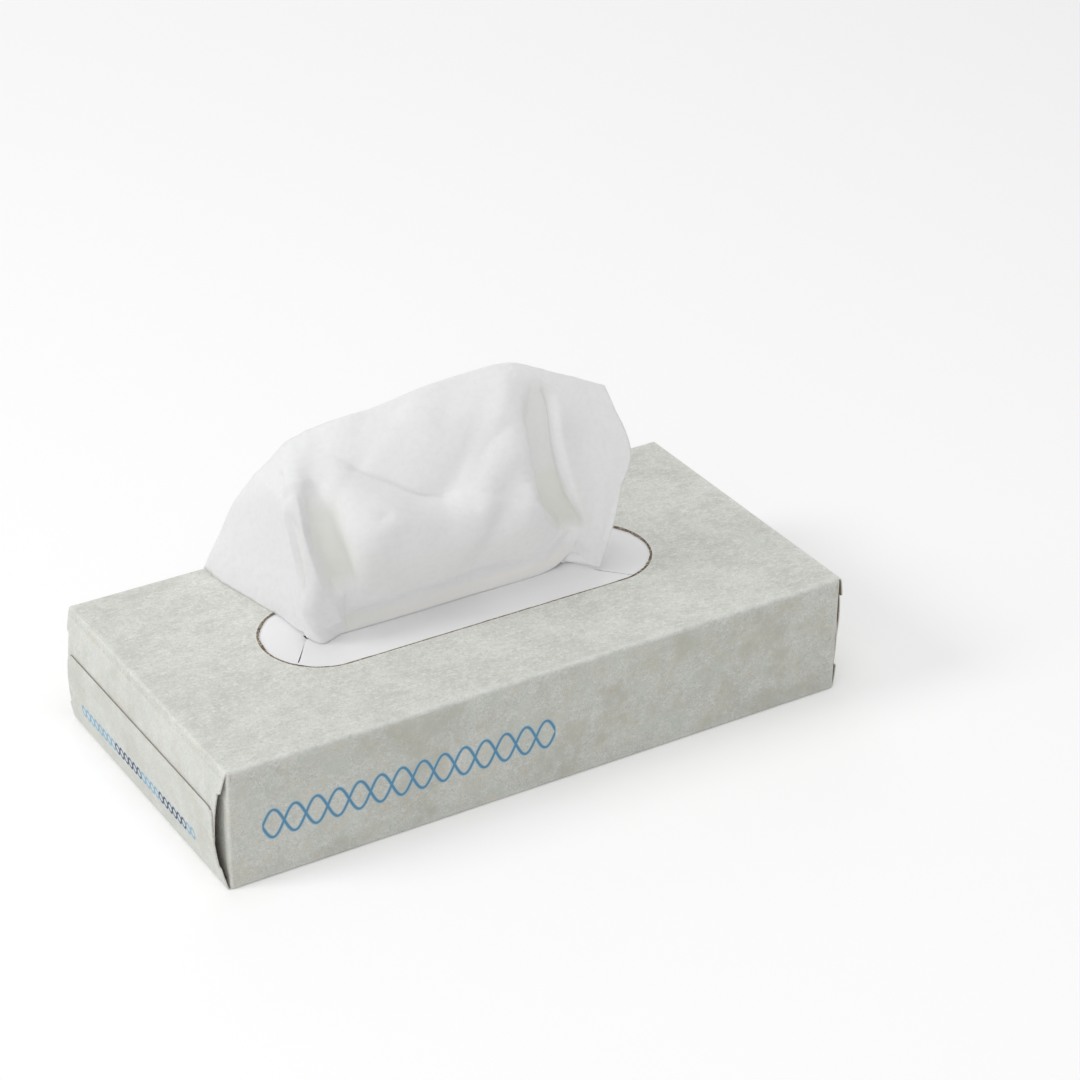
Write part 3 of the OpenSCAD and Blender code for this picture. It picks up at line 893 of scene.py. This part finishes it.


# Folds in the sheet: the path runs in stations across it and rails up it, height is in mm towards
# the front, wide in mm to the left and the right of the path, fade the share of it at each end
# over which the fold comes and goes, round the radius of a crisp crest in mm, and the painted shade
# along it as a share of the darker yellow-green colour; a soft fold has no crest
folds = [
    # valley in the left column
    {"path": [(3.35, 4.05), (3.25, 3.7), (3.25, 3.3), (3.05, 2.75), (2.6, 1.88)],
     "height": -3.6, "wide": (5.5, 2.4), "fade": (0.35, 0.25), "soft": True, "paintedShade": 0.3},
    # shoulder
    {"path": [(2.7, 4.08), (3.3, 4.23), (3.75, 4.3), (4.1, 4.35), (4.95, 4.4), (5.45, 4.42)],
     "height": 2.3, "wide": (1.6, 8), "fade": (0.25, 0.35), "round": 0.6},
    # left ridge down to the base corner
    {"path": [(3.75, 4.3), (3.7, 4.08), (3.65, 3.83), (3.65, 3.55), (3.75, 3.25), (3.8, 2.85),
              (3.75, 2.4), (3.8, 1.93), (4, 1.35)],
     "height": 2.6, "wide": (6, 1.3), "fade": (0.15, 0.03), "round": 0.4},
    # valley beside it
    {"path": [(4.1, 4.25), (5, 3.95), (4.95, 3.43), (4.9, 2.7), (4.85, 2.02)],
     "height": -4, "wide": (4.2, 6.5), "fade": (0.3, 0.2), "soft": True, "paintedShade": 1},
    # ridge right of it
    {"path": [(5.85, 3.68), (5.9, 3.23), (5.9, 2.68), (5.85, 2.02)],
     "height": 1.6, "wide": (5, 7), "fade": (0.4, 0.3), "soft": True},
    # broad valley
    {"path": [(4.8, 4.95), (5.9, 4.42), (6.4, 3.93), (6.8, 3.5), (7.15, 3.23), (7.45, 2.98)],
     "height": -8.4, "wide": (5.6, 19), "fade": (0.28, 0.2), "round": 0.7},
    # long ridge of the pouch
    {"path": [(5.7, 3.95), (6.25, 3.45), (6.6, 3.08), (7, 2.68), (7.35, 2.38), (7.5, 2.25)],
     "height": 4.6, "wide": (11, 7), "fade": (0.3, 0.4), "soft": True},
    # valley from the dent up
    {"path": [(7.4, 2.83), (7.45, 3.23), (7.55, 3.48), (7.65, 3.73), (8, 3.95), (9.55, 4.5)],
     "height": -6.2, "wide": (11, 14), "fade": (0.25, 0.45), "round": 0.8},
    # dent
    {"path": [(7.25, 3.08), (7.35, 3), (7.4, 2.93), (7.45, 3.1), (7.45, 3.25)],
     "height": -1.8, "wide": (2.5, 4), "fade": (0.35, 0.35), "round": 0.4},
    # valley towards the middle
    {"path": [(8.75, 3.62), (8.15, 3.23), (7.9, 2.95), (7.75, 2.62), (7.65, 2.23)],
     "height": -4.2, "wide": (6.5, 4.5), "fade": (0.4, 0.3), "soft": True},
    # lip left of the right valley
    {"path": [(8.25, 3.5), (8.3, 3.15), (8.35, 2.8), (8.7, 2.25), (9, 1.7)],
     "height": 2, "wide": (6, 1.8), "fade": (0.3, 0.15), "round": 0.6},
    # right valley
    {"path": [(9.8, 4.8), (9.4, 4.53), (9.2, 4.17), (9.2, 3.85), (9.2, 3.45), (9.3, 3.05),
              (9.35, 2.38), (9.35, 1.95)],
     "height": -4.6, "wide": (4.5, 3.6), "fade": (0.08, 0.1), "soft": True, "paintedShade": 0.35},
    # lower stretch of it
    {"path": [(9.15, 3.62), (9.25, 3.2), (9.35, 2.48), (9.2, 1.95)],
     "height": -0.5, "wide": (4, 3.4), "fade": (0.3, 0.1), "soft": True, "paintedShade": 0.7},
    # right ridge
    {"path": [(10.25, 4.58), (10.15, 4.12), (10.15, 3.62), (10.2, 3.2), (10.3, 2.68),
              (10.15, 2.23), (9.8, 1.75), (8.85, 1.1)],
     "height": 2.2, "wide": (2.2, 8), "fade": (0.15, 0.1), "round": 0.6},
    # small hook
    {"path": [(6.4, 3.35), (6.3, 3.33), (6.3, 3.23)],
     "height": -1.3, "wide": (1.5, 4), "fade": (0.2, 0.5), "round": 0.4},
    # shade right of the hook
    {"path": [(6.45, 3.2), (6.45, 2.9), (6.45, 2.53)],
     "height": -1.2, "wide": (3, 5), "fade": (0.4, 0.5), "soft": True},
    # top ridge
    {"path": [(6.55, 4.85), (6.8, 4.55), (7.15, 4.28)],
     "height": 1.4, "wide": (2.5, 8), "fade": (0.3, 0.4), "round": 0.6},
    # groove above the band at the base
    {"path": [(4.45, 1.38), (6.2, 1.53), (6.9, 1.53), (7.5, 1.55), (8.2, 1.45)],
     "height": -2.6, "wide": (4.5, 2.2), "fade": (0.03, 0.15), "round": 0.5},
    # fine fold in the band
    {"path": [(6.1, 1.23), (6.85, 1.3), (7.45, 1.28), (8, 1.25)],
     "height": 0.5, "wide": (0.7, 1.5), "fade": (0.3, 0.3), "round": 0.3},
]

pouchFront = (0.0, -1.0, 0.4)                # rough way the pouch looks, tells a line's left from its right
lineSteps = 6                                # per stretch of a fold's path


def onSheet(grid, cols, rows, line):
    c = np.clip(np.interp(line[:, 0], cols, np.arange(len(cols))), 0, len(cols) - 1.001)
    r = np.clip(np.interp(line[:, 1], rows, np.arange(len(rows))), 0, len(rows) - 1.001)
    c0, r0 = c.astype(int), r.astype(int)
    fc, fr = (c - c0)[:, None], (r - r0)[:, None]
    low = grid[r0, c0] * (1 - fc) + grid[r0, c0 + 1] * fc
    high = grid[r0 + 1, c0] * (1 - fc) + grid[r0 + 1, c0 + 1] * fc
    return low * (1 - fr) + high * fr


def nearLine(flat, spots):       # how far each point is from the line, where along it, and on which side
    best = np.full(len(flat), np.inf)
    at, side = np.zeros(len(flat)), np.zeros(len(flat))
    for i in range(len(spots) - 1):
        a, d = spots[i], spots[i + 1] - spots[i]
        t = np.clip((flat - a) @ d / max(d @ d, 1e-9), 0, 1)
        gap = flat - (a + t[:, None] * d)
        far = np.linalg.norm(gap, axis=1)
        nearer = far < best
        best = np.where(nearer, far, best)
        at = np.where(nearer, (i + t) / (len(spots) - 1), at)
        side = np.where(nearer, np.sign(gap @ np.cross(d, pouchFront)), side)
    return best, at, side


def foldHeights(grid, cols, rows):
    total, paintedShade = np.zeros(grid.shape[:2]), np.zeros(grid.shape[:2])
    flat = grid.reshape(-1, 3)
    for fold in folds:
        path = np.array(fold["path"], float)
        stretches = len(path) - 1
        line = alongRow(path, np.linspace(0, stretches, lineSteps * stretches + 1))
        far, at, side = nearLine(flat, onSheet(grid, cols, rows, line))
        width = np.where(side > 0, *fold["wide"])
        if fold.get("soft"):
            shape = np.exp(-(far / width) ** 2)
        else:
            shape = np.exp(-(np.sqrt(far ** 2 + fold["round"] ** 2) - fold["round"]) / width)
        shape *= smooth(np.minimum(rampUp(at, 0, fold["fade"][0]), rampDown(at, 1, fold["fade"][1])))
        total += (fold["height"] * shape).reshape(total.shape)
        # painted shade along the fold
        paintedShade += (fold.get("paintedShade", 0) * shape).reshape(total.shape)
    return total, paintedShade


def softRipple(shape, generator, reach):
    field = generator.standard_normal(shape)
    for axis, far in enumerate(reach):
        window = np.hanning(far * 2 + 1)
        window /= window.sum()
        field = np.apply_along_axis(
            lambda row: np.convolve(np.pad(row, far, "reflect"), window, "valid"), axis, field)
    return field / field.std()


def closeSheet(grid, thickness):             # two skins and the strip round their edge
    offset = gridNormals(grid) * thickness / 2
    rows, cols = grid.shape[:2]
    count = rows * cols
    index = np.arange(count).reshape(rows, cols)
    a, b, c, d = index[:-1, :-1], index[1:, :-1], index[1:, 1:], index[:-1, 1:]
    edge = np.concatenate([index[0, :-1], index[:-1, -1], index[-1, :0:-1], index[:0:-1, 0]])
    after = np.roll(edge, -1)
    faces = np.concatenate([
        np.stack([a, d, c, b], -1).reshape(-1, 4),
        np.stack([a, b, c, d], -1).reshape(-1, 4) + count,
        np.stack([edge, edge + count, after + count, after], -1)])
    points = np.concatenate([(grid + offset).reshape(-1, 3), (grid - offset).reshape(-1, 3)])
    return points, faces.tolist()


def makeSheet():
    cols = np.arange((len(neckRail) - 1) * sheet["colsPerSpan"] + 1) / sheet["colsPerSpan"]
    rows = np.arange((len(rails) - 1) * sheet["rowsPerSpan"] + 1) / sheet["rowsPerSpan"]
    shown = shownHalf(cols, rows)
    lift, paintedShade = foldHeights(shown, cols, rows)
    # Painted warm light at the foot of the pouch, and painted yellow shade on its left part
    upward = rampUp(rows, *baseBandLightAndShade["rowsIn"]) * rampDown(rows, *baseBandLightAndShade["rowsOut"])
    across = rampUp(cols, *baseBandLightAndShade["colsIn"]) * rampDown(cols, *baseBandLightAndShade["colsOut"])
    base = upward[:, None] * across
    paintedShade = np.clip(paintedShade + base * rampDown(cols, *baseBandLightAndShade["yellowOut"]), 0, 1)
    generator = np.random.default_rng(sheet["seed"])
    for share, reach in sheet["ripples"]:
        lift += share * sheet["ripple"] * softRipple(lift.shape, generator, reach)
    lift *= smooth(rampUp(rows, *sheet["still"]))[:, None]
    shown = shown + gridNormals(shown) * lift[..., None]
    lowest = np.where(np.abs(shown[..., 1]) > sheet["restsPast"], sheet["restsAt"], -np.inf)
    shown[..., 2] = np.maximum(shown[..., 2], lowest)
    points, faces = closeSheet(np.concatenate([buriedHalf(cols), shown]), sheet["thickness"])
    piece = meshPiece("pulled_sheet", points * mm, faces, makeTissuePaper("pulledTissue", valleyShade=True))
    for name, values in (("valleyShade", paintedShade), ("base", base)):
        spread = np.zeros(len(points) // 2)
        spread[-values.size:] = values.reshape(-1)
        mask = piece.data.attributes.new(name, "FLOAT", "POINT")
        mask.data.foreach_set("value", np.concatenate([spread, spread]).astype(np.float32))
    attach(piece, "root")
    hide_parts("pulled_tissue")
    print("sheet:", len(faces), "faces")


makeSheet()


# Floor and light

studio = {
    "floor": (0.86, 0.86, 0.86),
    "floorHalf": 6,
    "floorGlow": 0.17,           # seen directly only
    "sky": 0.50,
    "aim": (0, 0, 0.03),
    "lamps": {  # place, size, power
        "key": ((-1.75, 0.45, 1.28), 0.8, 13.8),
        "above": ((-0.15, -0.15, 1.7), 1.3, 6.8),
        "fill": ((-1.25, -1.25, 1.2), 1.6, 5.2),
        "rim": ((0.7, 1.7, 0.6), 1.4, 3.5),
    },
}


def makeLamp(name, place, size, power):
    data = bpy.data.lights.new(name, "AREA")
    data.shape = "DISK"
    data.size = size
    data.energy = power
    lamp = bpy.data.objects.new(name, data)
    lamp.location = place
    lamp.rotation_mode = "QUATERNION"
    lamp.rotation_quaternion = (Vector(studio["aim"]) - lamp.location).to_track_quat("-Z", "Y")
    bpy.context.scene.collection.objects.link(lamp)


def makeFloor():
    material = bpy.data.materials.new("studioFloor")
    tree = emptyTree(material)
    path = put(tree, "ShaderNodeLightPath").outputs
    seen = calc(tree, "MAXIMUM", path["Is Camera Ray"], path["Is Glossy Ray"])
    seen = calc(tree, "MAXIMUM", seen, path["Is Transmission Ray"])
    matte = put(tree, "ShaderNodeBsdfDiffuse", {"Color": (*studio["floor"], 1)})
    glow = put(tree, "ShaderNodeEmission", {"Strength": product(tree, seen, studio["floorGlow"])})
    both = put(tree, "ShaderNodeAddShader", {0: matte.outputs[0], 1: glow.outputs[0]})
    put(tree, "ShaderNodeOutputMaterial", {"Surface": both.outputs[0]})
    half = studio["floorHalf"]
    corners = [(-half, -half, 0), (half, -half, 0), (half, half, 0), (-half, half, 0)]
    floor = meshPiece("floor", corners, [(0, 1, 2, 3)], material)


def makeWorld():
    world = bpy.data.worlds.new("studio")
    bpy.context.scene.world = world
    tree = emptyTree(world)
    strength = calc(tree, "MAXIMUM", put(tree, "ShaderNodeLightPath").outputs["Is Camera Ray"], studio["sky"])
    sky = put(tree, "ShaderNodeBackground", {"Color": (1, 1, 1, 1), "Strength": strength})
    put(tree, "ShaderNodeOutputWorld", {"Surface": sky.outputs[0]})


makeFloor()
makeWorld()
for name, (place, size, power) in studio["lamps"].items():
    makeLamp(name, place, size, power)
bpy.context.scene.view_settings.view_transform = "Standard"
print("studio: floor and lamps")
